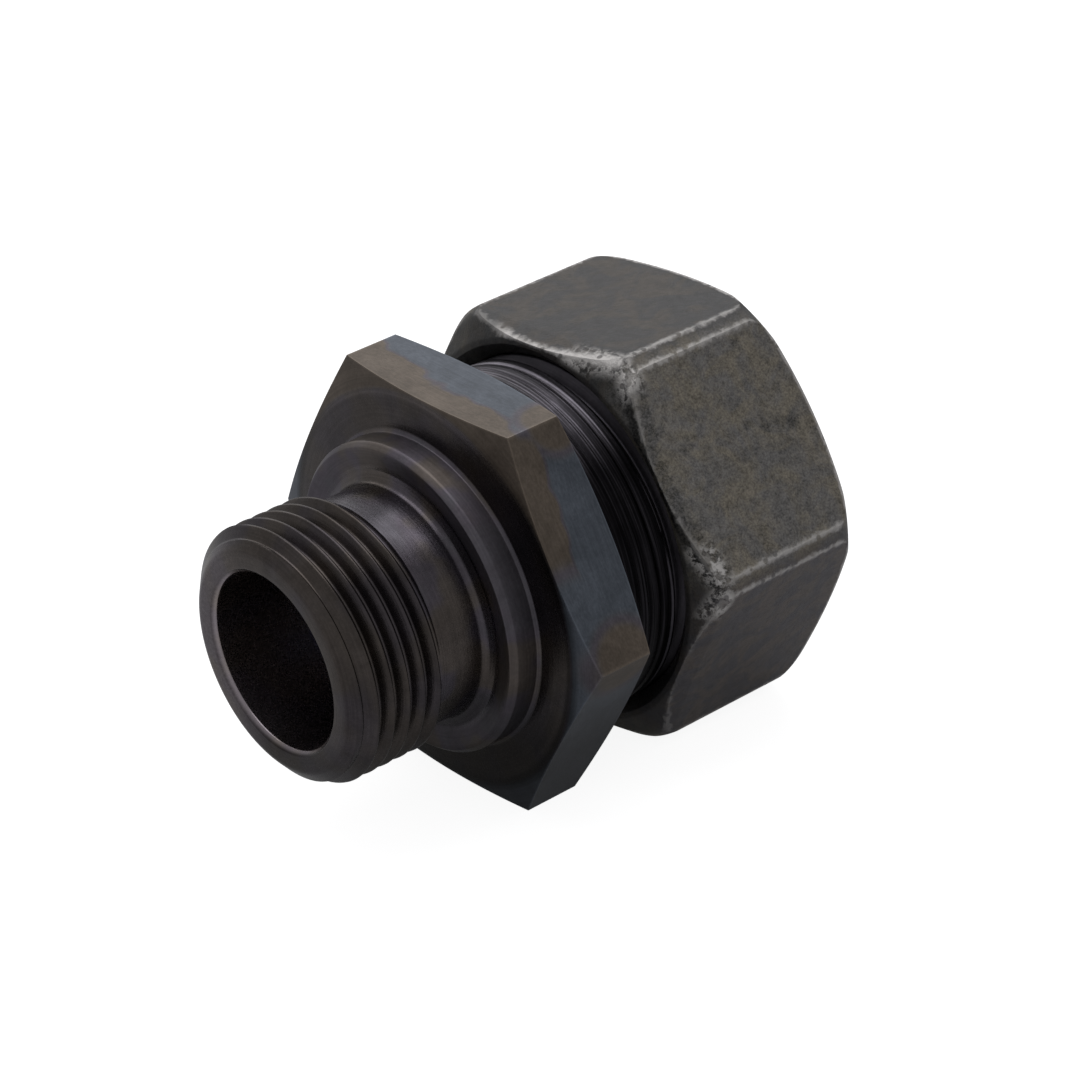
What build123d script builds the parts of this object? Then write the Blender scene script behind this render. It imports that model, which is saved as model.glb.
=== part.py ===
from build123d import *
import math
import os

# Straight male stud compression fitting, cutting-ring type, for 28 mm tube, with a G 3/4 parallel stud.
# Millimetres. +X runs along the fitting from the stud to the tube end, and +Z is up as it lies on a table.
# The origin is on the axis, in the plane of the sealing edge that seats on the port.
# Threads are plain at their crests: the male ones are at full diameter, and the nut's clears its stud.

# Tube that the fitting takes
tube_diameter = 28.0
tube_clearance = 0.05

# Stud: parallel pipe thread, rounded point, run-out groove and wall round the bore
stud_thread_diameter = 26.44
stud_length = 16.0
stud_wall = 4.22
stud_point_length = 1.7
stud_point_drop = 2.02
stud_point_rounding = 0.9
runout_groove_width = 5.2
runout_groove_depth = 1.32
runout_groove_flank = 0.9
bore_edge_chamfer = 0.45

# Sealing collar round the stud, with a cutting edge round the rim and a recess inside it
collar_rise = 2.78
collar_length = 3.2
collar_edge_bevel = 0.6
collar_edge_drop = 0.5
sealing_edge_land = 0.35
recess_depth = 0.45
recess_slope_width = 1.2
recess_root_rounding = 0.7
collar_root_rounding = 0.3

# Body hexagon, with the same spanner size as the nut
body_hexagon_width = 8.0
body_chamfer_inset = 0.6
body_chamfer_angle = 15.0
body_roll = 2.4

# Male end that carries the nut, with its 24 degree cone and tube socket
cone_half_angle = 12.0
cone_mouth_step = 1.0
male_end_wall = 3.0
male_end_length = 19.3
male_end_chamfer = 1.0
shank_relief_depth = 0.25
shank_relief_width = 2.4
tube_stop_depth = 7.5

# Cutting ring
ring_bore_clearance = 0.1
ring_seat_gap = 0.05
ring_entry_depth = 2.2
ring_taper_length = 3.9
ring_shoulder_wall = 2.1
ring_shoulder_rise = 1.2
ring_shoulder_length = 1.6
ring_tail_wall = 0.7
ring_bite_land = 0.6
ring_bite_groove_depth = 0.2
ring_bite_groove_length = 1.6

# Union nut
nut_flat_wall = 2.5
nut_corner_roll = 0.52
nut_length = 21.0
nut_roll = -2.6
nut_front_face_inset = 0.5
nut_front_angle = 30.0
nut_front_rounding = 3.0
nut_back_face_inset = 3.1
nut_back_angle = 25.0
nut_back_rounding = 2.5
nut_thread_gap = 0.05
nut_mouth_width = 1.35
nut_mouth_angle = 45.0
nut_neck_clearance = 0.75
nut_neck_length = 1.8
nut_seat_angle = 45.0
nut_tube_hole_clearance = 0.25
nut_tube_hole_length = 2.6
nut_tube_hole_chamfer = 0.5


def slope(degrees):
    """Rise over run of a line at this angle."""
    return math.tan(math.radians(degrees))


def turned_profile(corners):
    """Closed face from the corners of a turned piece, each given along the axis, out from it, and rounded."""
    with BuildLine() as outline:
        FilletPolyline(
            [(along, radius) for along, radius, rounding in corners],
            radius=[rounding for along, radius, rounding in corners],
            close=True,
        )
    make_face(outline.edges())


# Positions along the axis
stud_face = -stud_length
hexagon_front = collar_length
hexagon_back = hexagon_front + body_hexagon_width
male_end = hexagon_back + male_end_length
tube_stop = male_end - tube_stop_depth

# Radii of the stud and its collar
stud_radius = stud_thread_diameter / 2
bore_radius = stud_radius - stud_wall
groove_radius = stud_radius - runout_groove_depth
collar_radius = stud_radius + collar_rise
seal_radius = collar_radius - collar_edge_drop

# Radii that follow the tube, from the socket out to the flats
tube_radius = tube_diameter / 2
socket_radius = tube_radius + tube_clearance
cone_mouth_radius = tube_radius + cone_mouth_step
male_radius = cone_mouth_radius + male_end_wall
flat_radius = male_radius + nut_flat_wall
corner_radius = flat_radius / math.cos(math.radians(30))
cone_slope = slope(cone_half_angle)
socket_mouth = male_end - (cone_mouth_radius - socket_radius) / cone_slope

os.makedirs("parts", exist_ok=True)

# Body: turned from hexagon bar in one piece, with the stud, the collar, the hexagon and the male end
body_chamfer_radius = flat_radius - body_chamfer_inset
relief_radius = male_radius - shank_relief_depth
relief_end = hexagon_back + shank_relief_width

with BuildPart() as fitting_body:
    with BuildSketch(Plane.YZ.offset(hexagon_front)):
        RegularPolygon(radius=flat_radius, side_count=6, major_radius=False, rotation=body_roll)
    extrude(amount=body_hexagon_width)

    # Conical chamfers turned on both ends of the hexagon
    cut_radius = corner_radius + 1
    cut_length = (cut_radius - body_chamfer_radius) * slope(body_chamfer_angle)
    with BuildSketch(Plane.XZ):
        for face, inwards in ((hexagon_front, 1), (hexagon_back, -1)):
            turned_profile(
                [
                    (face, body_chamfer_radius, 0),
                    (face, cut_radius, 0),
                    (face + inwards * cut_length, cut_radius, 0),
                ]
            )
    revolve(axis=Axis.X, mode=Mode.SUBTRACT)

    # Stud, run-out groove, sealing collar and male end
    with BuildSketch(Plane.XZ):
        turned_profile(
            [
                (stud_face, 0, 0),
                (stud_face, stud_radius - stud_point_drop, stud_point_rounding),
                (stud_face + stud_point_length, stud_radius, stud_point_rounding),
                (-runout_groove_width - runout_groove_flank, stud_radius, 0),
                (-runout_groove_width, groove_radius, 0),
                (0, groove_radius, recess_root_rounding),
                (recess_depth, groove_radius + recess_slope_width, 0),
                (0, seal_radius - sealing_edge_land, 0),
                (0, seal_radius, 0),
                (collar_edge_bevel, collar_radius, 0),
                (hexagon_front, collar_radius, 0),
                (hexagon_front, relief_radius, 0),
                (relief_end, relief_radius, 0),
                (relief_end + shank_relief_depth, male_radius, 0),
                (male_end - male_end_chamfer, male_radius, 0),
                (male_end, male_radius - male_end_chamfer, 0),
                (male_end, 0, 0),
            ]
        )
    revolve(axis=Axis.X)

    # Through bore, tube socket and 24 degree cone
    with BuildSketch(Plane.XZ):
        turned_profile(
            [
                (stud_face, 0, 0),
                (stud_face, bore_radius + bore_edge_chamfer, 0),
                (stud_face + bore_edge_chamfer, bore_radius, 0),
                (tube_stop, bore_radius, 0),
                (tube_stop, socket_radius, 0),
                (socket_mouth, socket_radius, 0),
                (male_end, cone_mouth_radius, 0),
                (male_end, 0, 0),
            ]
        )
    revolve(axis=Axis.X, mode=Mode.SUBTRACT)

    # Small root radius where the collar meets the hexagon
    collar_root = fitting_body.edges().filter_by(GeomType.CIRCLE).filter_by_position(
        Axis.X, hexagon_front - 0.01, hexagon_front + 0.01
    )
    fillet(collar_root.sort_by(lambda edge: edge.radius)[0], radius=collar_root_rounding)

fitting_body.part.label = "fitting_body"
export_step(fitting_body.part, "parts/fitting_body.step")

# Cutting ring: its tapered nose wedges into the cone, and its back shoulder seats in the nut
ring_bore_radius = tube_radius + ring_bore_clearance
ring_tip = male_end - ring_entry_depth
ring_tip_radius = cone_mouth_radius - ring_entry_depth * cone_slope - ring_seat_gap
ring_taper_end = ring_tip + ring_taper_length
ring_taper_radius = ring_tip_radius + ring_taper_length * cone_slope
ring_shoulder_radius = ring_bore_radius + ring_shoulder_wall
ring_shoulder_start = ring_taper_end + ring_shoulder_rise
ring_shoulder_end = ring_shoulder_start + ring_shoulder_length
ring_tail_radius = ring_bore_radius + ring_tail_wall
ring_back = ring_shoulder_end + (ring_shoulder_radius - ring_tail_radius) / slope(nut_seat_angle)
bite_groove_radius = ring_bore_radius + ring_bite_groove_depth
bite_groove_start = ring_tip + ring_bite_land
bite_groove_end = bite_groove_start + ring_bite_groove_length

with BuildPart() as cutting_ring:
    with BuildSketch(Plane.XZ):
        turned_profile(
            [
                (ring_tip, ring_bore_radius, 0),
                (ring_tip, ring_tip_radius, 0),
                (ring_taper_end, ring_taper_radius, 0),
                (ring_shoulder_start, ring_shoulder_radius, 0),
                (ring_shoulder_end, ring_shoulder_radius, 0),
                (ring_back, ring_tail_radius, 0),
                (ring_back, ring_bore_radius, 0),
                (bite_groove_end, ring_bore_radius, 0),
                (bite_groove_end, bite_groove_radius, 0),
                (bite_groove_start, bite_groove_radius, 0),
                (bite_groove_start, ring_bore_radius, 0),
            ]
        )
    revolve(axis=Axis.X)

cutting_ring.part.label = "cutting_ring"
export_step(cutting_ring.part, "parts/cutting_ring.step")

# Union nut: forged hexagon with rolled corners, a 45 degree seat for the ring and a hole for the tube
nut_tube_hole_radius = tube_radius + nut_tube_hole_clearance
nut_neck_radius = ring_shoulder_radius + nut_neck_clearance
nut_thread_radius = male_radius + nut_thread_gap
nut_mouth_radius = nut_thread_radius + nut_mouth_width
nut_front_face_radius = flat_radius - nut_front_face_inset
nut_back_face_radius = flat_radius - nut_back_face_inset
nut_corner_radius = corner_radius - nut_corner_roll
nut_seat_end = ring_back + (ring_tail_radius - nut_tube_hole_radius) / slope(nut_seat_angle) + ring_seat_gap
nut_seat_start = nut_seat_end - (nut_neck_radius - nut_tube_hole_radius) / slope(nut_seat_angle)
nut_thread_end = nut_seat_start - nut_neck_length
nut_back = nut_seat_end + nut_tube_hole_length
nut_front = nut_back - nut_length
nut_front_corner = nut_front + (nut_corner_radius - nut_front_face_radius) * slope(nut_front_angle)
nut_back_corner = nut_back - (nut_corner_radius - nut_back_face_radius) * slope(nut_back_angle)

with BuildPart() as union_nut:
    # Forged outline of the nut as a round blank, with its conical ends
    with BuildSketch(Plane.XZ):
        turned_profile(
            [
                (nut_front, 0, 0),
                (nut_front, nut_front_face_radius, 0),
                (nut_front_corner, nut_corner_radius, nut_front_rounding),
                (nut_back_corner, nut_corner_radius, nut_back_rounding),
                (nut_back, nut_back_face_radius, 0),
                (nut_back, 0, 0),
            ]
        )
    revolve(axis=Axis.X)

    # Flats
    with BuildSketch(Plane.YZ.offset(nut_front)):
        RegularPolygon(radius=flat_radius, side_count=6, major_radius=False, rotation=nut_roll)
    extrude(amount=nut_length, mode=Mode.INTERSECT)

    # Countersunk mouth, thread, ring seat and tube hole
    with BuildSketch(Plane.XZ):
        turned_profile(
            [
                (nut_front, 0, 0),
                (nut_front, nut_mouth_radius, 0),
                (nut_front + (nut_mouth_radius - nut_thread_radius) / slope(nut_mouth_angle), nut_thread_radius, 0),
                (nut_thread_end, nut_thread_radius, 0),
                (nut_thread_end, nut_neck_radius, 0),
                (nut_seat_start, nut_neck_radius, 0),
                (nut_seat_end, nut_tube_hole_radius, 0),
                (nut_back - nut_tube_hole_chamfer, nut_tube_hole_radius, 0),
                (nut_back, nut_tube_hole_radius + nut_tube_hole_chamfer, 0),
                (nut_back, 0, 0),
            ]
        )
    revolve(axis=Axis.X, mode=Mode.SUBTRACT)

union_nut.part.label = "union_nut"
export_step(union_nut.part, "parts/union_nut.step")

print("male end", male_end, "tube stop", tube_stop, "socket mouth", round(socket_mouth, 3))
print("ring", round(ring_tip, 3), round(bite_groove_end, 3), round(ring_shoulder_end, 3), round(ring_back, 3))
print("nut", round(nut_front, 3), round(nut_thread_end, 3), round(nut_seat_end, 3), round(nut_back, 3))
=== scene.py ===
import math

import bmesh
import bpy
from mathutils import Matrix, Vector


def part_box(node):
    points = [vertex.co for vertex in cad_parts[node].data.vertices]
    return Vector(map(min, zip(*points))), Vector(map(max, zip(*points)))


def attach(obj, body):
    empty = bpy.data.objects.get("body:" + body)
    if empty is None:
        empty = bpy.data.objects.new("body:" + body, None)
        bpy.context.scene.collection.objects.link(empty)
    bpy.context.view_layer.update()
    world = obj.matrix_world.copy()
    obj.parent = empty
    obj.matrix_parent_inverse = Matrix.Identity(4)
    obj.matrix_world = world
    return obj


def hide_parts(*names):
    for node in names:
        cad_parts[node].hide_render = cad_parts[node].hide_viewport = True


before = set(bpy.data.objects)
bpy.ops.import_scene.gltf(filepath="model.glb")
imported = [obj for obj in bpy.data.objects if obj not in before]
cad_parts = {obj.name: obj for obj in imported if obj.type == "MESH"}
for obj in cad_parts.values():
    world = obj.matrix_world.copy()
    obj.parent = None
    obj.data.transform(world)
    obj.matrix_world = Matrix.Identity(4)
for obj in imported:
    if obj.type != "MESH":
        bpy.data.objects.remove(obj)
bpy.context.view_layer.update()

# Photographer's table: a white paper sheet, a white room round it, two soft lamps and the camera.
# The fitting lies on the sheet with one edge of the body and one edge of the nut.
MM = 0.001
white = (1, 1, 1, 1)
paper_grey = (0.42, 0.42, 0.43, 1)
paper_glow = 0.9
mirrored_share = 0.1
room_light = 0.39
sheet_size = 1.6
table_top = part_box("fitting_body")[0].z

sheet_mesh = bmesh.new()
bmesh.ops.create_grid(sheet_mesh, x_segments=8, y_segments=8, size=sheet_size)
bmesh.ops.translate(sheet_mesh, verts=sheet_mesh.verts, vec=(0, 0, table_top))
sheet_data = bpy.data.meshes.new("table_sheet")
sheet_mesh.to_mesh(sheet_data)
sheet_mesh.free()
table_sheet = bpy.data.objects.new("table_sheet", sheet_data)
bpy.context.scene.collection.objects.link(table_sheet)


def put(tree, kind, inputs=None, **settings):
    """A shader node with its settings; its inputs, by name or number, are values or other nodes' outputs."""
    made = tree.nodes.new("ShaderNode" + kind)
    for setting, value in settings.items():
        setattr(made, setting, value)
    for name, value in (inputs or {}).items():
        if isinstance(value, bpy.types.NodeSocket):
            tree.links.new(value, made.inputs[name])
        else:
            made.inputs[name].default_value = value
    return made


def combine(tree, operation, *terms):
    """All the terms, joined by maths nodes of one kind."""
    total = terms[0]
    for term in terms[1:]:
        total = put(tree, "Math", {0: total, 1: term}, operation=operation).outputs[0]
    return total


def times_plus(tree, value, factor, added):
    """A value times a factor, plus another value."""
    return put(tree, "Math", {0: value, 1: factor, 2: added}, operation="MULTIPLY_ADD").outputs[0]


# The paper's glow shows in full to the camera and a little in the steel, and throws no other light
paper = bpy.data.materials.new("white_paper")
paper.use_nodes = True
tree = paper.node_tree
tree.nodes.clear()
ray = put(tree, "LightPath").outputs
seen = times_plus(tree, ray["Is Glossy Ray"], mirrored_share, ray["Is Camera Ray"])
seen = combine(tree, "MAXIMUM", seen, ray["Is Transmission Ray"])
glow = put(tree, "Emission", {"Color": white, "Strength": combine(tree, "MULTIPLY", seen, paper_glow)})
matt = put(tree, "BsdfDiffuse", {"Color": paper_grey})
both = put(tree, "AddShader", {0: matt.outputs[0], 1: glow.outputs[0]})
put(tree, "OutputMaterial", {"Surface": both.outputs[0]})
sheet_data.materials.append(paper)

# The room is white to the camera, and lights the fitting less than half as much
surround = bpy.data.worlds.new("white_surround")
bpy.context.scene.world = surround
surround.use_nodes = True
tree = surround.node_tree
tree.nodes.clear()
ray = put(tree, "LightPath").outputs
level = put(tree, "MapRange", {"Value": ray["Is Camera Ray"], "To Min": room_light, "To Max": 1.0})
room = put(tree, "Background", {"Color": white, "Strength": level.outputs[0]})
put(tree, "OutputWorld", {"Surface": room.outputs[0]})


def facing(place, aim):
    """Matrix that stands a lamp or the camera at one place, turned to another."""
    return Matrix.Translation(place) @ (aim - place).to_track_quat("-Z", "Y").to_matrix().to_4x4()


def softbox(name, place, width, height, watts):
    """A large soft lamp, turned to the middle of the fitting."""
    lamp = bpy.data.lights.new(name, "AREA")
    lamp.shape = "RECTANGLE"
    lamp.size, lamp.size_y = width, height
    lamp.energy = watts
    holder = bpy.data.objects.new(name, lamp)
    bpy.context.scene.collection.objects.link(holder)
    holder.matrix_world = facing(Vector(place), Vector((0.01, 0, 0)))


softbox("overhead_softbox", (0.05, 0.12, 0.75), 0.9, 0.7, 2.5)
softbox("back_softbox", (0.35, 0.75, 0.45), 1.1, 0.6, 1.4)

camera_data = bpy.data.cameras.new("camera")
camera_data.lens = 126.6
camera_data.sensor_width = 36
camera_data.clip_start = 0.01
camera = bpy.data.objects.new("camera", camera_data)
bpy.context.scene.collection.objects.link(camera)
camera_place = Vector((-0.186958, -0.256324, 0.175634))
camera_aim = Vector((0.017114, 0, -0.000431))
camera_tilt = math.radians(4.703)
camera.matrix_world = facing(camera_place, camera_aim) @ Matrix.Rotation(-camera_tilt, 4, "Z")
bpy.context.scene.camera = camera
bpy.context.scene.view_settings.view_transform = "Standard"

# Fitting body: steel, turned in one piece from hexagon bar and tempered dark. The stud has a pipe thread,
# the collar a raised sealing edge, and the male end the nut's thread outside and the 24 degree cone inside.
# Sizes are in millimetres, and places along the axis count from the sealing face towards the nut.
turning_steps = 192
seam = 0.05
stud_face, stud_face_radius = -16.0, 11.2
stud_point_end, stud_radius = -14.3, 13.22
pipe_thread_start, pipe_pitch = -15.35, 1.814
groove_start, groove_radius = -5.2, 11.9
collar_radius = 16.0
hexagon_front, hexagon_back = 3.2, 11.2
hexagon_flats, hexagon_corner = 41.0, 23.75
chamfer_length, chamfer_start_radius = 1.03, 19.9
body_roll = 2.4
shank_radius, rib_radius = 17.85, 17.98
nut_pitch = 2.0
male_thread_start, male_thread_end = 18.1, 30.2
male_end, male_radius, male_root_radius = 30.5, 18.0, 16.0
male_chamfer = 1.0
cone_start, cone_mouth_radius = 26.03, 15.0
socket_stop, socket_radius = 23.0, 14.05
bore_radius, bore_chamfer = 9.0, 0.45


def draw_profile(corners, segments):
    """A bmesh with a chain of edges through (along, radius, rounding) corners, ready to be turned."""
    chain = bmesh.new()
    points = [chain.verts.new((along * MM, 0, radius * MM)) for along, radius, rounding in corners]
    for pair in zip(points, points[1:]):
        chain.edges.new(pair)
    for point, (along, radius, rounding) in zip(points, corners):
        if rounding:
            bmesh.ops.bevel(
                chain, geom=[point], offset=rounding * MM, offset_type="OFFSET", affect="VERTICES",
                segments=segments, profile=0.5, material=-1,
            )
    return chain


def add_shell(mesh, shell):
    """Move a finished shell into a piece's mesh, and return its vertices there."""
    data = bpy.data.meshes.new("shell")
    shell.to_mesh(data)
    shell.free()
    count = len(mesh.verts)
    mesh.from_mesh(data)
    bpy.data.meshes.remove(data)
    mesh.verts.ensure_lookup_table()
    return mesh.verts[count:]


def turn(mesh, corners, steps=turning_steps, segments=4):
    """Turn a profile round the fitting's axis, into a shell that is open at its two ends."""
    shell = draw_profile(corners, segments)
    bmesh.ops.spin(
        shell, geom=shell.verts[:] + shell.edges[:], cent=(0, 0, 0), axis=(1, 0, 0), dvec=(0, 0, 0),
        angle=math.tau, steps=steps, use_merge=True,
    )
    return add_shell(mesh, shell)


def cut_thread(mesh, start, end, pitch, crest_at, crest, depth, rounding):
    """Sheet of a right-hand thread from start to end: a zigzag, turned once while it moves on by a pitch."""
    first = crest_at + pitch * (math.floor((start - crest_at) / pitch) - 2)
    corners = []
    for number in range(math.ceil((end - start) / pitch) + 4):
        corners.append((first + pitch * number, crest, rounding))
        corners.append((first + pitch * (number + 0.5), crest - depth, rounding))
    sheet = draw_profile(corners, 4)
    bmesh.ops.spin(
        sheet, geom=sheet.verts[:] + sheet.edges[:], cent=(0, 0, 0), axis=(1, 0, 0),
        dvec=(pitch * MM / turning_steps, 0, 0), angle=math.tau, steps=turning_steps, use_merge=False,
    )
    bmesh.ops.remove_doubles(sheet, verts=sheet.verts, dist=0.002 * MM)
    for cut_place, outwards in ((start, -1), (end, 1)):
        bmesh.ops.bisect_plane(
            sheet, geom=sheet.verts[:] + sheet.edges[:] + sheet.faces[:], dist=0,
            plane_co=(cut_place * MM, 0, 0), plane_no=(outwards, 0, 0), clear_outer=True,
        )
    return add_shell(mesh, sheet)


def hold_radius(verts, limit, least=None):
    """Turn off what stands proud of a limit, or fill what lies under one, at each place along the axis."""
    for vert in verts:
        radius = math.hypot(vert.co.y, vert.co.z)
        along = vert.co.x / MM
        wanted = min(radius, limit(along) * MM)
        if least:
            wanted = max(wanted, least(along) * MM)
        vert.co.y *= wanted / radius
        vert.co.z *= wanted / radius


def join_ends(mesh, seam_place):
    """Close the narrow gap between the two open rims on either side of a place on the axis."""
    rims = []
    for edge in mesh.edges:
        beside_seam = all(abs(vert.co.x / MM - seam_place) < 0.08 for vert in edge.verts)
        if edge.is_boundary and beside_seam:
            rims.append(edge)
    bmesh.ops.bridge_loops(mesh, edges=rims)


def flat_direction(number, roll):
    """Direction in which a hexagon's flat faces: flat 0 at 30 degrees from +Y up to +Z, plus the roll."""
    angle = math.radians(roll + 30 + 60 * number)
    return Vector((0, math.cos(angle), math.sin(angle)))


def cut_facet(mesh, point, outwards):
    """Mill one plane facet through a point in millimetres."""
    cut = bmesh.ops.bisect_plane(
        mesh, geom=mesh.verts[:] + mesh.edges[:] + mesh.faces[:], dist=0,
        plane_co=point * MM, plane_no=outwards, clear_outer=True,
    )
    rim = [item for item in cut["geom_cut"] if isinstance(item, bmesh.types.BMEdge)]
    bmesh.ops.contextual_create(mesh, geom=rim)


def cut_flats(mesh, across_flats, roll):
    """Mill six flats on a round blank."""
    for number in range(6):
        outwards = flat_direction(number, roll)
        cut_facet(mesh, outwards * across_flats / 2, outwards)


def finish_piece(name, mesh, sharp_angle):
    """Close the mesh, face it outwards, keep its sharp edges and make it an object in the scene."""
    bmesh.ops.remove_doubles(mesh, verts=mesh.verts, dist=0.001 * MM)
    bmesh.ops.recalc_face_normals(mesh, faces=mesh.faces)
    for face in mesh.faces:
        face.smooth = True
    for edge in mesh.edges:
        edge.smooth = edge.is_manifold and edge.calc_face_angle(0) < math.radians(sharp_angle)
    open_edges = sum(1 for edge in mesh.edges if not edge.is_manifold)
    volume = round(mesh.calc_volume() / MM ** 3)
    print(name, "faces", len(mesh.faces), "open edges", open_edges, "volume mm3", volume)
    data = bpy.data.meshes.new(name)
    mesh.to_mesh(data)
    mesh.free()
    piece = bpy.data.objects.new(name, data)
    bpy.context.scene.collection.objects.link(piece)
    return piece


def stud_limit(along):
    """Radius of the stud's outside: its rounded point, its thread's crests and the run-out groove's flank."""
    point_slope = (stud_radius - stud_face_radius) / (stud_point_end - stud_face)
    point = stud_face_radius + (along - stud_face) * point_slope
    flank = groove_radius + (groove_start - along) * 1.45
    return min(stud_radius, max(groove_radius - 1, point), max(groove_radius, flank))


def male_limit(along):
    """Radius of the male end's outside, with the chamfer at its end."""
    return min(male_radius, male_radius + (male_end - male_chamfer - along))


def male_root(along):
    """The nut thread's groove, which runs out to nothing near the shank."""
    return min(male_radius, male_root_radius + max(0, 19.3 - along) * 1.7)


body_mesh = bmesh.new()
pipe_thread = cut_thread(
    body_mesh, pipe_thread_start, groove_start, pipe_pitch,
    crest_at=-10.55, crest=13.4, depth=1.58, rounding=0.42,
)
hold_radius(pipe_thread, stud_limit)
male_thread = cut_thread(
    body_mesh, male_thread_start, male_thread_end, nut_pitch,
    crest_at=20.0, crest=18.22, depth=1.73, rounding=0.5,
)
hold_radius(male_thread, male_limit, male_root)

# Outside, from the run-out groove over the collar, the hexagon and the ribbed shank to the nut's thread
turn(body_mesh, [
    (groove_start + seam, groove_radius, 0), (0.0, groove_radius, 0.55),
    (0.42, 13.1, 0.12), (0.0, 15.15, 0.06), (0.0, 15.5, 0.06),
    (0.6, collar_radius, 0.15), (2.95, collar_radius, 0.1), (hexagon_front, 16.4, 0.1),
    (hexagon_front, chamfer_start_radius, 0), (hexagon_front + chamfer_length, hexagon_corner, 0),
    (hexagon_back - chamfer_length, hexagon_corner, 0), (hexagon_back, chamfer_start_radius, 0),
    (hexagon_back, shank_radius, 0.15), (13.95, shank_radius, 0),
    (14.1, rib_radius, 0.05), (14.25, 17.9, 0.03), (14.7, 17.9, 0.03), (14.85, rib_radius, 0.04),
    (15.2, rib_radius, 0.04), (15.4, 17.8, 0.08), (15.6, rib_radius, 0.04), (16.6, rib_radius, 0.06),
    (16.85, shank_radius, 0.06), (17.1, shank_radius, 0.06), (17.3, male_radius, 0.1),
    (male_thread_start - seam, male_radius, 0),
])
# Inside, from the male end's chamfer down the cone and the socket and through the bore to the stud's point
turn(body_mesh, [
    (male_thread_end + seam, male_limit(male_thread_end + seam), 0),
    (male_end, male_radius - male_chamfer, 0.1), (male_end, cone_mouth_radius, 0.08),
    (cone_start, socket_radius, 0.2), (socket_stop, socket_radius, 0.1), (socket_stop, bore_radius, 0.12),
    (stud_face + bore_chamfer, bore_radius, 0.1), (stud_face, bore_radius + bore_chamfer, 0.06),
    (stud_face, stud_face_radius, 0.35),
    (pipe_thread_start - seam, stud_limit(pipe_thread_start - seam), 0),
])
join_ends(body_mesh, pipe_thread_start - seam / 2)
join_ends(body_mesh, groove_start + seam / 2)
join_ends(body_mesh, male_thread_start - seam / 2)
join_ends(body_mesh, male_thread_end + seam / 2)
cut_flats(body_mesh, hexagon_flats, body_roll)

body = finish_piece("body", body_mesh, sharp_angle=40)
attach(body, "body")
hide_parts("fitting_body")


def blend(tree, share, first, second):
    """The first number where the share is 0, and the second where it is 1."""
    return put(tree, "Mix", {0: share, 2: first, 3: second}).outputs[0]


def mix_colours(tree, share, first, second):
    """The first colour where the share is 0, and the second where it is 1."""
    return put(tree, "Mix", {0: share, 6: first, 7: second}, data_type="RGBA").outputs[2]


def scale_colour(tree, colour, factor):
    """A colour made darker or lighter."""
    return put(tree, "VectorMath", {0: colour, "Scale": factor}, operation="SCALE").outputs[0]


def soft_step(tree, value, start, end, low=0.0, high=1.0):
    """Smooth change from low to high while the value goes from start to end."""
    ramp_inputs = {0: value, 1: start, 2: end, 3: low, 4: high}
    return put(tree, "MapRange", ramp_inputs, interpolation_type="SMOOTHSTEP").outputs[0]


def mottling(tree, place, scale, detail, roughness, distortion=0.0):
    """Cloudy noise between 0 and 1 over the piece."""
    noise_inputs = {
        "Vector": place, "Scale": scale, "Detail": detail, "Roughness": roughness, "Distortion": distortion,
    }
    return put(tree, "TexNoise", noise_inputs).outputs["Fac"]


def distance_to(tree, place, spot):
    """How far a place lies from a spot, in millimetres."""
    return put(tree, "VectorMath", {0: place, 1: spot}, operation="DISTANCE").outputs["Value"]


def off_axis(tree, place):
    """The part of a place that stands square to the fitting's axis."""
    return put(tree, "VectorMath", {0: place, 1: (0, 1, 1)}, operation="MULTIPLY").outputs[0]


def radius_of(tree, place):
    """How far a place lies from the fitting's axis, in millimetres."""
    return put(tree, "VectorMath", {0: off_axis(tree, place)}, operation="LENGTH").outputs["Value"]


def new_group(name, inputs, outputs):
    """An empty node group with named inputs, as (name, kind, value), and named outputs, as (name, kind)."""
    group = bpy.data.node_groups.new(name, "ShaderNodeTree")
    for label, kind, value in inputs:
        socket = group.interface.new_socket(label, in_out="INPUT", socket_type="NodeSocket" + kind)
        if value is not None:
            socket.default_value = value
    for label, kind in outputs:
        group.interface.new_socket(label, in_out="OUTPUT", socket_type="NodeSocket" + kind)
    return group, group.nodes.new("NodeGroupInput").outputs, group.nodes.new("NodeGroupOutput").inputs


def use_group(tree, group, **inputs):
    """The outputs of a node group placed in a material with its own values."""
    made = tree.nodes.new("ShaderNodeGroup")
    made.node_tree = group
    for name, value in inputs.items():
        socket = made.inputs[name.replace("_", " ")]
        if isinstance(value, bpy.types.NodeSocket):
            tree.links.new(value, socket)
        else:
            socket.default_value = value
    return made.outputs


def new_steel(name):
    """A material, its node tree, its Principled shader and the place on the piece in millimetres."""
    material = bpy.data.materials.new(name)
    material.use_nodes = True
    tree = material.node_tree
    metres = put(tree, "TexCoord").outputs["Object"]
    place = put(tree, "VectorMath", {0: metres, "Scale": 1 / MM}, operation="SCALE").outputs[0]
    return material, tree, tree.nodes["Principled BSDF"], place


def finish_steel(tree, steel, colour, roughness, height, strength, depth):
    """Give a steel its colour and its roughness, and a bump of a depth in millimetres."""
    bump = put(tree, "Bump", {"Strength": strength, "Distance": depth * MM, "Height": height})
    tree.links.new(colour, steel.inputs["Base Color"])
    tree.links.new(roughness, steel.inputs["Roughness"])
    tree.links.new(bump.outputs[0], steel.inputs["Normal"])


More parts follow.
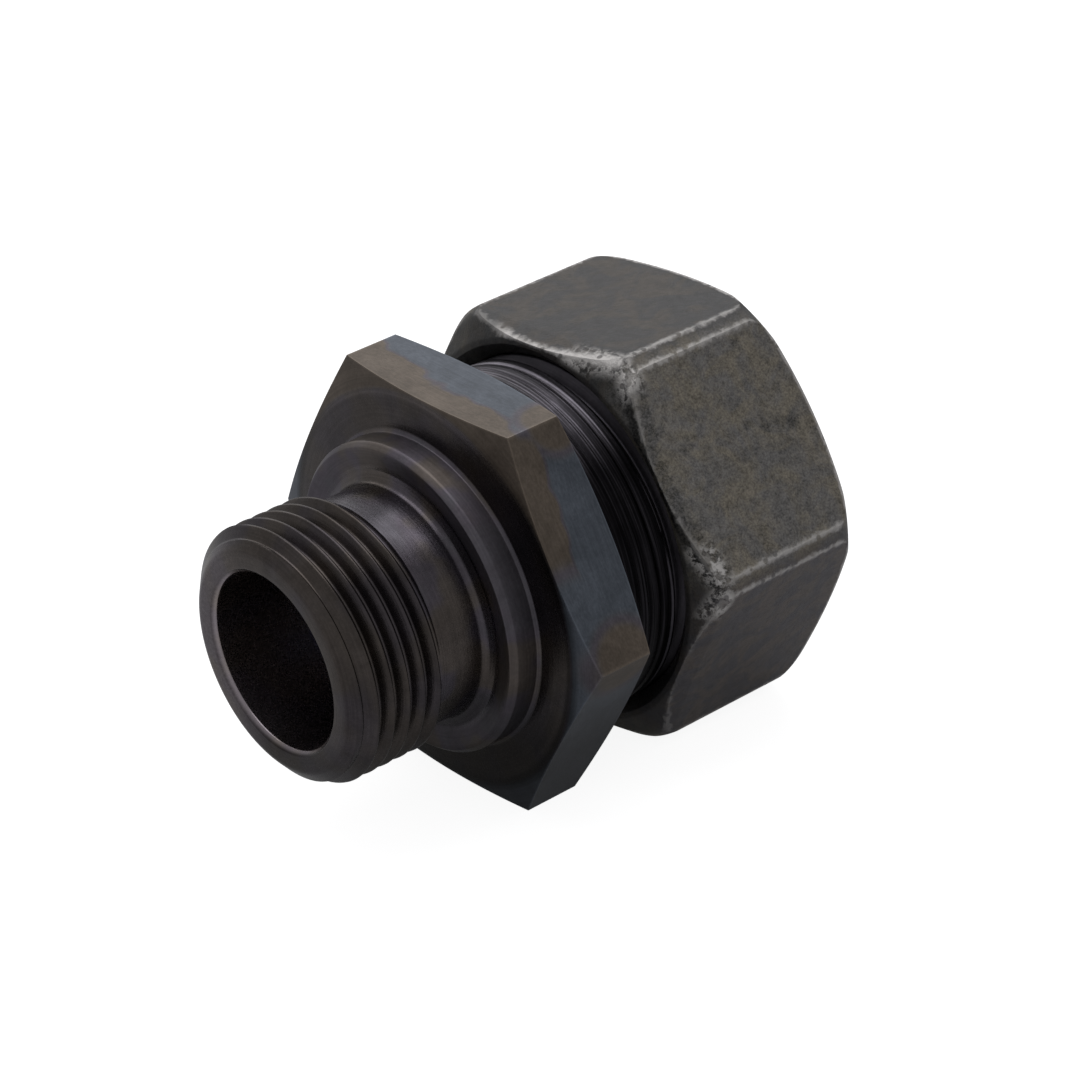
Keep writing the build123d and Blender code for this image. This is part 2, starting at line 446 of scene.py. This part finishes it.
# Lines that a lathe tool leaves round a turned surface, finer and coarser ones together
turned_lines, given, result = new_group(
    "turned_lines", [("Place", "Vector", None), ("Lines per mm", "Float", 5.0)], [("Height", "Float")],
)
tree = turned_lines
along, sideways, up = put(tree, "SeparateXYZ", {0: given["Place"]}).outputs
around = put(tree, "Math", {0: sideways, 1: up}, operation="ARCTAN2").outputs[0]
drawn_out = combine(tree, "MULTIPLY", around, 0.25)
unrolled = put(tree, "CombineXYZ", {0: along, 1: radius_of(tree, given["Place"]), 2: drawn_out}).outputs[0]
tree.links.new(mottling(tree, unrolled, given["Lines per mm"], 4.0, 0.65), result["Height"])

# Fine grain of drawn or forged steel: a speckle, and patches of a few millimetres
steel_grain, given, result = new_group(
    "steel_grain",
    [("Place", "Vector", None), ("Grains per mm", "Float", 5.0)],
    [("Speckle", "Float"), ("Patches", "Float")],
)
tree = steel_grain
tree.links.new(mottling(tree, given["Place"], given["Grains per mm"], 5.0, 0.7), result["Speckle"])
tree.links.new(mottling(tree, given["Place"], 0.28, 4.0, 0.6, 0.8), result["Patches"])

# Where the edges of a hexagon with conical ends lie: how far a place on its outside is from the nearest edge
# and from the edge of the front cone, and how far down the front cone it is below the flats, in millimetres
hexagon_edges, given, result = new_group(
    "hexagon_edges",
    [
        ("Place", "Vector", None), ("Roll", "Float", 0.0),
        ("Flat radius", "Float", hexagon_flats / 2), ("Corner radius", "Float", 23.67),
        ("Front", "Float", 0.0), ("Front radius", "Float", 20.0), ("Front slope", "Float", 0.27),
        ("Back", "Float", 10.0), ("Back radius", "Float", 20.0), ("Back slope", "Float", 0.27),
    ],
    [("Edge", "Float"), ("Front edge", "Float"), ("Front cone", "Float")],
)
tree = hexagon_edges
level_place = put(
    tree, "VectorRotate",
    {"Vector": given["Place"], "Angle": combine(tree, "SUBTRACT", 0.0, given["Roll"])},
    rotation_type="X_AXIS",
).outputs[0]
towards_flats = []
for number in range(3):
    directions = {0: level_place, 1: flat_direction(number, roll=0)}
    towards = put(tree, "VectorMath", directions, operation="DOT_PRODUCT").outputs["Value"]
    towards_flats.append(put(tree, "Math", {0: towards}, operation="ABSOLUTE").outputs[0])
below_flat = combine(tree, "SUBTRACT", given["Flat radius"], combine(tree, "MAXIMUM", *towards_flats))
radius = radius_of(tree, level_place)
to_corner = combine(tree, "SUBTRACT", given["Corner radius"], radius)
along = put(tree, "SeparateXYZ", {0: level_place}).outputs[0]
from_cones = []
for end, inwards in (("Front", 1), ("Back", -1)):
    outside_end = combine(tree, "SUBTRACT", radius, given[end + " radius"])
    cone_depth = combine(tree, "MULTIPLY", outside_end, given[end + " slope"])
    depth = combine(tree, "MULTIPLY", combine(tree, "SUBTRACT", along, given[end]), inwards)
    from_cones.append(combine(tree, "SUBTRACT", depth, cone_depth))
nearest = combine(tree, "MINIMUM", to_corner, *from_cones)
tree.links.new(combine(tree, "ADD", nearest, below_flat), result["Edge"])
tree.links.new(combine(tree, "ADD", from_cones[0], below_flat), result["Front edge"])
tree.links.new(combine(tree, "SUBTRACT", below_flat, from_cones[0]), result["Front cone"])

# Tempered steel: satin turned and drawn surfaces, with brown and blue oxide in wandering bands
flats_brown = (0.124, 0.102, 0.084, 1)
flats_blue = (0.096, 0.108, 0.130, 1)
front_brown = (0.112, 0.096, 0.088, 1)
front_violet = (0.092, 0.090, 0.106, 1)
purple_between = (0.096, 0.084, 0.108, 1)
brown_spots = (((9.6, -12.6, 19.8), 4.2), ((7.6, -22.6, -1.0), 5.0))

tempered_steel, tree, steel, place = new_steel("tempered_steel")
along, sideways, up = put(tree, "SeparateXYZ", {0: place}).outputs
radius = radius_of(tree, place)
grain = use_group(tree, steel_grain, Place=place, Grains_per_mm=3.2)
lathe = use_group(tree, turned_lines, Place=place, Lines_per_mm=4.5)
edges = use_group(
    tree, hexagon_edges, Place=place, Roll=math.radians(body_roll),
    Front=hexagon_front, Front_radius=chamfer_start_radius,
    Back=hexagon_back, Back_radius=chamfer_start_radius,
)

# Masks of the body's parts, by their places along the axis and their radius
behind_face = soft_step(tree, along, 3.25, 3.4)
on_shank = soft_step(tree, along, 11.1, 11.4)
on_male_end = soft_step(tree, along, 17.6, 18.4)
on_stud = soft_step(tree, along, -5.2, -6.2)
on_chamfer = soft_step(tree, radius, 19.5, 20.1)
in_bore = soft_step(tree, radius, 9.4, 9.1)
on_face = combine(tree, "MULTIPLY", soft_step(tree, radius, 16.2, 16.5), soft_step(tree, along, 3.6, 3.3))
on_collar = combine(
    tree, "MULTIPLY", soft_step(tree, radius, 13.3, 14.0), soft_step(tree, along, 3.25, 3.15),
    soft_step(tree, radius, 16.4, 16.1),
)

# Oxide colours: the flats are brown before a wandering line and in two spots, and blue behind and below,
# with purple between. The parts in front of the flats are brown and violet.
wander = mottling(tree, place, 0.16, 2.0, 0.45)
band_edge = times_plus(tree, wander, 7.0, soft_step(tree, sideways, -2.0, 10.0, 2.7, 5.2))
behind_band = soft_step(tree, combine(tree, "SUBTRACT", along, band_edge), -0.45, 0.6)
blue_on_flats = combine(tree, "MAXIMUM", behind_band, soft_step(tree, up, 9.5, 6.5))
for spot, size in brown_spots:
    outside_spot = soft_step(tree, distance_to(tree, place, spot), size * 0.55, size)
    blue_on_flats = combine(tree, "MULTIPLY", blue_on_flats, outside_spot)
warm_parts = combine(tree, "MAXIMUM", on_stud, on_face)
violet_in_front = combine(
    tree, "MULTIPLY", soft_step(tree, wander, 0.38, 0.62), soft_step(tree, warm_parts, 0.0, 1.0, 0.8, 0.3),
)
cool_share = blend(tree, behind_face, violet_in_front, blue_on_flats)
cool_share = blend(tree, on_shank, cool_share, 0.6)
warm = mix_colours(tree, behind_face, front_brown, flats_brown)
cool = mix_colours(tree, behind_face, front_violet, flats_blue)
colour = mix_colours(tree, cool_share, warm, cool)
purple_share = combine(
    tree, "MULTIPLY", soft_step(tree, cool_share, 0.05, 0.5), soft_step(tree, cool_share, 0.95, 0.5), 0.6,
)
colour = mix_colours(tree, purple_share, colour, purple_between)
shade = combine(
    tree, "MULTIPLY", soft_step(tree, grain["Patches"], 0.25, 0.75, 0.84, 1.16),
    soft_step(tree, grain["Speckle"], 0.25, 0.75, 0.88, 1.12),
    soft_step(tree, lathe["Height"], 0.35, 0.65, 0.9, 1.1),
)

# Light painted into the colour, set to the photograph, in place of light that the lamps don't give.
# It is darker low down, on the face and the start of the chamfer, on the stud, on the nut's thread and low on
# the shank, and lighter on the shank's top and in the bore. It stays with the body, however that is lit.
shade = combine(tree, "MULTIPLY", shade, soft_step(tree, up, -14.0, -3.0, 0.45, 1.0))
face_shade = blend(tree, on_chamfer, 0.6, soft_step(tree, up, 8.0, 18.0, 0.3, 0.95))
shade = combine(tree, "MULTIPLY", shade, blend(tree, on_face, 1.0, face_shade))
shade = combine(tree, "MULTIPLY", shade, blend(tree, on_stud, 1.0, 0.7))
shank_shade = combine(
    tree, "MULTIPLY", soft_step(tree, lathe["Height"], 0.44, 0.7, 0.2, 0.9),
    soft_step(tree, up, 12.0, 17.6, 0.35, 2.3),
)
shank_shade = blend(tree, on_male_end, shank_shade, 0.62)
shade = combine(tree, "MULTIPLY", shade, blend(tree, on_shank, 1.0, shank_shade))
shade = times_plus(tree, in_bore, 2.2, shade)

# A painted highlight on one side of the stud's nose, painted light on the collar, and oxide rubbed off the
# hexagon's edges
painted_nose_highlight = combine(
    tree, "MULTIPLY", soft_step(tree, along, -14.9, -15.7), soft_step(tree, sideways, 1.0, 8.5),
    grain["Speckle"], 2.0,
)
shade = times_plus(tree, painted_nose_highlight, 0.75, shade)
# Painted light: the collar's colour is made a little lighter
shade = times_plus(tree, on_collar, 0.15, shade)
worn_edge = combine(
    tree, "MULTIPLY", soft_step(tree, times_plus(tree, grain["Speckle"], 0.4, edges["Edge"]), 0.38, 0.16),
    behind_face, soft_step(tree, along, 11.3, 11.1),
)
shade = times_plus(tree, worn_edge, 0.55, shade)

steel.inputs["Metallic"].default_value = 1.0
least_roughness = blend(tree, behind_face, soft_step(tree, on_collar, 0.0, 1.0, 0.19, 0.36), 0.29)
roughness = times_plus(tree, grain["Speckle"], 0.14, least_roughness)
height = combine(tree, "ADD", lathe["Height"], grain["Speckle"])
finish_steel(tree, steel, scale_colour(tree, colour, shade), roughness, height, strength=0.5, depth=0.02)
body.data.materials.append(tempered_steel)

# Cutting ring: hardened steel, turned fine, with a tapered nose that seats in the body's cone.
# It sits loose between the cone, the tube and the nut's seat, and bites into the tube.
ring_radius = 14.1
bite_radius = 14.3
shoulder_radius = 16.2
nose_face = 28.3
tail_face = 36.4
ring_warm = (0.20, 0.185, 0.165, 1)
ring_cool = (0.165, 0.165, 0.175, 1)

ring_mesh = bmesh.new()
turn(ring_mesh, [
    (nose_face, ring_radius, 0), (nose_face, 14.48, 0.03), (32.2, 15.31, 0.1),
    (33.4, shoulder_radius, 0.1), (35.0, shoulder_radius, 0.1),
    (tail_face, 14.8, 0.08), (tail_face, ring_radius, 0.08),
    (30.5, ring_radius, 0.03), (30.5, bite_radius, 0.03),
    (28.9, bite_radius, 0.03), (28.9, ring_radius, 0.02),
    (nose_face + seam, ring_radius, 0),
])
join_ends(ring_mesh, nose_face + seam / 2)
ring = finish_piece("ring", ring_mesh, sharp_angle=40)
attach(ring, "ring")
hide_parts("cutting_ring")

ring_steel, tree, steel, place = new_steel("ring_steel")
grain = use_group(tree, steel_grain, Place=place, Grains_per_mm=4.0)
lathe = use_group(tree, turned_lines, Place=place, Lines_per_mm=6.0)
shade = soft_step(tree, combine(tree, "ADD", lathe["Height"], grain["Speckle"]), 0.6, 1.4, 0.8, 1.2)
colour = scale_colour(tree, mix_colours(tree, grain["Patches"], ring_warm, ring_cool), shade)
steel.inputs["Metallic"].default_value = 1.0
roughness = times_plus(tree, grain["Speckle"], 0.12, 0.26)
finish_steel(tree, steel, colour, roughness, lathe["Height"], strength=0.5, depth=0.015)
ring.data.materials.append(ring_steel)

# Union nut: steel, forged with rounded corners and black scale, threaded M36x2, countersunk at its mouth.
# It screws over the male end and pushes on the ring. Its edges and two front corners are worn bright.
nut_steps = 384
nut_front, nut_back = 18.6, 39.6
nut_flat, nut_corner = 20.5, 23.15
nut_roll = -2.6
front_cone_radius, back_cone_radius = 20.0, 17.4
nut_thread_start, nut_thread_end = 19.95, 32.4
nut_crest_radius, nut_groove_radius = 16.93, 18.06
neck_radius, tube_hole_radius = 16.95, 14.25
facet_start, facet_tilt = 20.75, math.radians(14)


def nut_groove(along):
    """Bottom of the nut's thread, which runs out at the neck."""
    return max(neck_radius, min(nut_groove_radius, neck_radius + (nut_thread_end - along) * 1.3))


def nut_crest(along):
    """Crests of the nut's thread, cut back at the mouth."""
    return max(nut_crest_radius, min(nut_groove_radius, nut_groove_radius + (20.0 - along)))


nut_mesh = bmesh.new()
nut_thread = cut_thread(
    nut_mesh, nut_thread_start, nut_thread_end, nut_pitch,
    crest_at=20.0, crest=18.32, depth=1.73, rounding=0.5,
)
hold_radius(nut_thread, nut_groove, nut_crest)

# From the mouth over the conical front, the corners and the conical back, in through the tube's hole and
# down the 45 degree seat to the neck
turn(nut_mesh, [
    (nut_thread_start - seam, nut_groove_radius, 0), (18.65, 19.35, 0.04), (nut_front, 19.42, 0.03),
    (nut_front, front_cone_radius, 0.15), (18.9, 20.52, 0), (19.2, 21.04, 0), (19.5, 21.56, 0),
    (20.42, nut_corner, 1.4), (37.16, nut_corner, 1.5), (38.2, 20.7, 0), (38.9, 19.05, 0),
    (nut_back, back_cone_radius, 0.3), (nut_back, tube_hole_radius + 0.5, 0.1),
    (nut_back - 0.5, tube_hole_radius, 0.1), (37.0, tube_hole_radius, 0.1), (34.3, neck_radius, 0.15),
    (nut_thread_end + seam, neck_radius, 0),
], nut_steps, 7)
join_ends(nut_mesh, nut_thread_start - seam / 2)
join_ends(nut_mesh, nut_thread_end + seam / 2)
cut_flats(nut_mesh, 2 * nut_flat, nut_roll)
for number in range(6):
    outwards = flat_direction(number, nut_roll)
    facet_direction = outwards * math.cos(facet_tilt) - Vector((math.sin(facet_tilt), 0, 0))
    cut_facet(nut_mesh, outwards * nut_flat + Vector((facet_start, 0, 0)), facet_direction)

nut = finish_piece("nut", nut_mesh, sharp_angle=18)
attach(nut, "nut")
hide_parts("union_nut")

# Forged steel: black scale, brown in patches, speckled and mottled, and bare bright metal where it is worn
bare_metal = (0.60, 0.58, 0.57, 1)
near_black, near_brown = (0.116, 0.112, 0.110, 1), (0.150, 0.134, 0.108, 1)
# The top and the low flat get darker copies of the scale colours, as painted shade
top_black_painted_shade, top_brown_painted_shade = (0.060, 0.059, 0.061, 1), (0.082, 0.072, 0.064, 1)
low_black_painted_shade, low_brown_painted_shade = (0.080, 0.076, 0.084, 1), (0.112, 0.096, 0.088, 1)
top_number, near_number, low_number = 1, 2, 3
dents_on_near_flat = (
    (30.7, -1.65, 0.9), (32.4, -1.0, 0.8), (34.0, -0.4, 0.9), (35.6, 0.1, 1.1), (37.2, 0.8, 0.9),
    (34.4, 1.3, 0.6), (22.9, -2.0, 0.7), (33.0, -9.2, 0.8),
)

forged_steel, tree, steel, place = new_steel("forged_steel")
grain = use_group(tree, steel_grain, Place=place, Grains_per_mm=4.5)
edges = use_group(
    tree, hexagon_edges, Place=place, Roll=math.radians(nut_roll), Corner_radius=nut_corner,
    Front=nut_front, Front_radius=front_cone_radius, Front_slope=0.577,
    Back=nut_back, Back_radius=back_cone_radius, Back_slope=0.466,
)
mottle = mottling(tree, place, 1.1, 6.0, 0.75)
dirt_spots = put(tree, "TexVoronoi", {"Vector": place, "Scale": 0.9, "Randomness": 1.0}).outputs["Distance"]
nut_outwards = put(tree, "VectorMath", {0: off_axis(tree, place)}, operation="NORMALIZE").outputs[0]


def side_mask(angle, narrow, wide):
    """Mask of the nut's side at an angle round its axis, in degrees from +Y up to +Z, with a soft rim."""
    side = (0, math.cos(math.radians(angle)), math.sin(math.radians(angle)))
    towards = put(tree, "VectorMath", {0: nut_outwards, 1: side}, operation="DOT_PRODUCT").outputs["Value"]
    return soft_step(tree, towards, math.cos(math.radians(wide)), math.cos(math.radians(narrow)))


def flat_mask(number):
    """Mask of one of the nut's six flats."""
    return side_mask(60 * number + 30 + nut_roll, 27, 32)


def place_on_flat(number, along, across):
    """A place in millimetres on one of the nut's flats, along it and across from its middle line."""
    outwards = flat_direction(number, nut_roll)
    return along, nut_flat * outwards.y - across * outwards.z, nut_flat * outwards.z + across * outwards.y


top_flat = flat_mask(top_number)
near_flat = flat_mask(near_number)
low_flat = flat_mask(low_number)

# Scale colours, with light painted into them to match the photograph. The top and the low flat are
# darker, the flat nearest the camera is lighter but has a darker band along its front edge, and the front
# cone is dark. That shading turns with the nut.
brown_share = soft_step(tree, grain["Patches"], 0.42, 0.6)
colour = mix_colours(tree, soft_step(tree, grain["Patches"], 0.35, 0.65), near_black, near_brown)
colour = mix_colours(tree, top_flat, colour, mix_colours(tree, brown_share, top_black_painted_shade, top_brown_painted_shade))
colour = mix_colours(tree, low_flat, colour, mix_colours(tree, brown_share, low_black_painted_shade, low_brown_painted_shade))
speckle = soft_step(tree, grain["Speckle"], 0.36, 0.64, -1.0, 1.0)
blotch = soft_step(tree, mottle, 0.3, 0.7, -1.0, 1.0)
contrast = times_plus(tree, near_flat, 0.1, 0.2)
shade = times_plus(tree, combine(tree, "ADD", speckle, blotch), contrast, 1.0)
# Painted shade on the front cone, and painted light on the flat nearest the camera
shade = combine(
    tree, "MULTIPLY", shade, blend(tree, soft_step(tree, edges["Front cone"], 0.3, 0.6), 1.0, 0.42),
    blend(tree, near_flat, 1.0, 1.16),
)
# Painted shade in a band along the near flat's front edge
shade_band_reach = times_plus(tree, mottle, 0.5, edges["Front edge"])
painted_shade_band = combine(tree, "MULTIPLY", soft_step(tree, shade_band_reach, 1.75, 1.3), near_flat)
shade = times_plus(tree, painted_shade_band, -0.38, shade)

# Dents in the near flat, with painted shade in them: five in a row, one beside them and two apart
dents_and_their_shade = 0.0
for dent_along, dent_across, size in dents_on_near_flat:
    away = distance_to(tree, place, place_on_flat(near_number, dent_along, dent_across))
    away = times_plus(tree, mottle, 1.6, away)
    dents_and_their_shade = combine(tree, "MAXIMUM", soft_step(tree, away, size + 0.9, size * 0.4 + 0.6), dents_and_their_shade)
# Painted shade in the dents: their colour is made darker
shade = times_plus(tree, dents_and_their_shade, -0.4, shade)
colour = scale_colour(tree, colour, shade)

# Bare metal, dirty in spots: a burred front rim above, two scuffed front corners and a line on every edge
ragged_band = times_plus(tree, mottle, 1.3, edges["Front edge"])
burr = combine(tree, "MULTIPLY", soft_step(tree, ragged_band, 1.75, 1.05), side_mask(96, 19, 29))
scuffed = combine(
    tree, "MULTIPLY", soft_step(tree, ragged_band, 2.8, 1.3), soft_step(tree, mottle, 0.42, 0.56),
    combine(tree, "MAXIMUM", side_mask(112, 8, 14), side_mask(176, 7, 12)),
)
front_line = soft_step(tree, ragged_band, 1.35, 1.05, 0.0, 0.3)
edge_line = soft_step(tree, times_plus(tree, mottle, 0.8, edges["Edge"]), 0.66, 0.36, 0.0, 0.75)
worn = combine(tree, "MAXIMUM", burr, scuffed, front_line, edge_line)
worn = combine(tree, "MULTIPLY", worn, times_plus(tree, soft_step(tree, dirt_spots, 0.32, 0.2), -0.7, 1.0))
colour = mix_colours(tree, worn, colour, bare_metal)

tree.links.new(times_plus(tree, worn, 0.6, 0.4), steel.inputs["Metallic"])
roughness = times_plus(tree, grain["Speckle"], 0.25, 0.34)
height = combine(
    tree, "ADD", mottle, grain["Speckle"], combine(tree, "MULTIPLY", dents_and_their_shade, -1.2),
    combine(tree, "MULTIPLY", worn, mottle, 2.0),
)
finish_steel(tree, steel, colour, roughness, height, strength=0.8, depth=0.09)
nut.data.materials.append(forged_steel)
